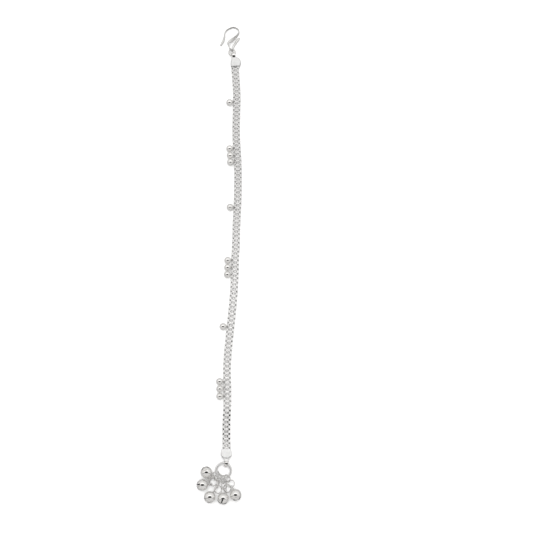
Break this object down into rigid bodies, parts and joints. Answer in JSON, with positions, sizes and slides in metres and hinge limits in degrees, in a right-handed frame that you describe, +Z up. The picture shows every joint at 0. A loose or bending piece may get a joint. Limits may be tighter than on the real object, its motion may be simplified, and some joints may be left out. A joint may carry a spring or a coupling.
{
  "type": "bell anklet",
  "caption": "Flat anklet chain with two rows of box links, round side beads in groups, a bent wire hook at one end and a cluster of small round bells on jump rings at the other.",
  "frame": {"origin": "middle of the footprint of the anklet as it lies open, on the floor", "axes": "+Y along the length, from the bells to the hook; +Z up from the floor; the beads stand on the -X side of the chain"},
  "size_m": [0.0256, 0.2932, 0.0067],
  "materials": {
    "bright_silver": "polished silver",
    "satin_silver": "satin silver"
  },
  "bodies": {
    "root": {"hook": "bright_silver", "hook_ring": "bright_silver", "top_cap": "satin_silver", "chain": "bright_silver", "lower_cap": "satin_silver", "bead_01": "bright_silver", "bead_02": "bright_silver", "bead_03": "bright_silver", "bead_04": "bright_silver", "bead_05": "bright_silver", "bead_06": "bright_silver", "bead_07": "bright_silver", "bead_08": "bright_silver", "bead_09": "bright_silver", "bead_10": "bright_silver", "bead_11": "bright_silver", "bead_12": "bright_silver", "end_ring": "bright_silver", "carrier_ring_1": "bright_silver", "carrier_ring_2": "bright_silver", "carrier_ring_3": "bright_silver", "carrier_ring_4": "bright_silver", "carrier_ring_5": "bright_silver", "link_ring_1": "bright_silver", "link_ring_2": "bright_silver", "bell_ring_1": "bright_silver", "bell_ring_2": "bright_silver", "bell_ring_3": "bright_silver", "bell_ring_4": "bright_silver", "bell_ring_5": "bright_silver", "bell_1": "bright_silver", "bell_2": "bright_silver", "bell_3": "bright_silver", "bell_4": "bright_silver", "bell_5": "bright_silver", "pellet_1": "satin_silver", "pellet_2": "satin_silver", "pellet_3": "satin_silver", "pellet_4": "satin_silver", "pellet_5": "satin_silver"}
  },
  "joints": []
}
